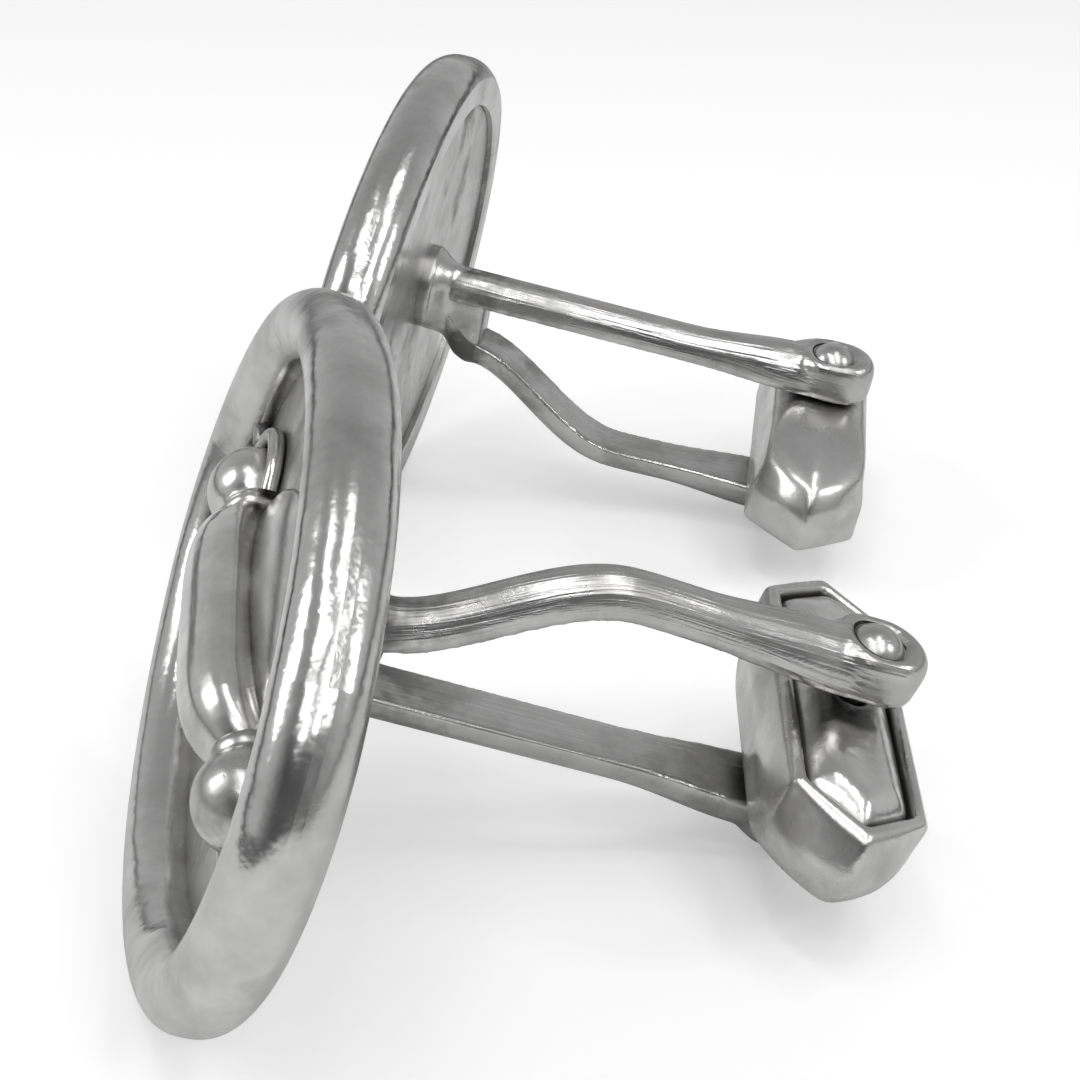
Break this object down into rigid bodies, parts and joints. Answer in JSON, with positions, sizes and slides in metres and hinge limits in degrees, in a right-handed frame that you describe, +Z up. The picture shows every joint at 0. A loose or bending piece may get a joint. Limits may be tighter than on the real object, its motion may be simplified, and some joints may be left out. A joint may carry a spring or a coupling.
{
  "type": "cufflinks",
  "caption": "Pair of polished silver stirrup cufflinks: oval ring face with a recessed spindle-and-balls ornament, forked legs and swivelling boat-shaped toggle, lying on their sides.",
  "frame": {"origin": "on the table, under the middle of the pair's bounding box", "axes": "+X from the ovals towards the toggles, +Y from the front cufflink to the rear one, +Z up from the table"},
  "size_m": [0.0324, 0.0539, 0.0192],
  "materials": {
    "polished_silver": "polished silver with fine scratches and a little grey tarnish in its corners",
    "recess_silver": "matt silver, darker in the corners of the recess",
    "fork_silver": "polished silver, softly worn, with fine scratches",
    "rivet_silver": "polished rivet heads with a dark line round them",
    "cover_silver": "satin silver with a brighter crown",
    "cam_steel": "smooth steel",
    "spring_steel": "smooth spring steel"
  },
  "bodies": {
    "front_cufflink": {"front_oval_ring": "polished_silver", "front_back_plate": "recess_silver", "front_middle_bar": "polished_silver", "front_upper_ball": "polished_silver", "front_lower_ball": "polished_silver", "front_upper_loop": "polished_silver", "front_lower_loop": "polished_silver", "front_upper_straps": "polished_silver", "front_lower_straps": "polished_silver", "front_foot": "fork_silver", "front_straight_leg": "fork_silver", "front_curved_leg": "fork_silver", "front_rivet": "rivet_silver", "front_cam": "cam_steel"},
    "front_toggle": {"front_toggle_shell": "fork_silver", "front_toggle_cover": "cover_silver", "front_leaf_springs": "spring_steel"},
    "rear_cufflink": {"rear_oval_ring": "polished_silver", "rear_back_plate": "recess_silver", "rear_middle_bar": "polished_silver", "rear_upper_ball": "polished_silver", "rear_lower_ball": "polished_silver", "rear_upper_loop": "polished_silver", "rear_lower_loop": "polished_silver", "rear_upper_straps": "polished_silver", "rear_lower_straps": "polished_silver", "rear_foot": "fork_silver", "rear_straight_leg": "fork_silver", "rear_curved_leg": "fork_silver", "rear_rivet": "rivet_silver", "rear_cam": "cam_steel"},
    "rear_toggle": {"rear_toggle_shell": "fork_silver", "rear_toggle_cover": "cover_silver", "rear_leaf_springs": "spring_steel"}
  },
  "joints": [
    {"name": "front_toggle_swivel", "type": "hinge", "parent": "front_cufflink", "child": "front_toggle", "pos_m": [0.00594, -0.01432, 0.00439], "axis": [0.353, -0.1736, 0.9194], "continuous": true},
    {"name": "rear_cufflink_lift", "type": "slide", "parent": "front_cufflink", "child": "rear_cufflink", "axis": [0, 0, 1], "range_m": [0, 0.03]},
    {"name": "rear_toggle_swivel", "type": "hinge", "parent": "rear_cufflink", "child": "rear_toggle", "pos_m": [0.01252, 0.00906, 0.00438], "axis": [-0.1324, 0.1758, -0.9755], "continuous": true}
  ]
}
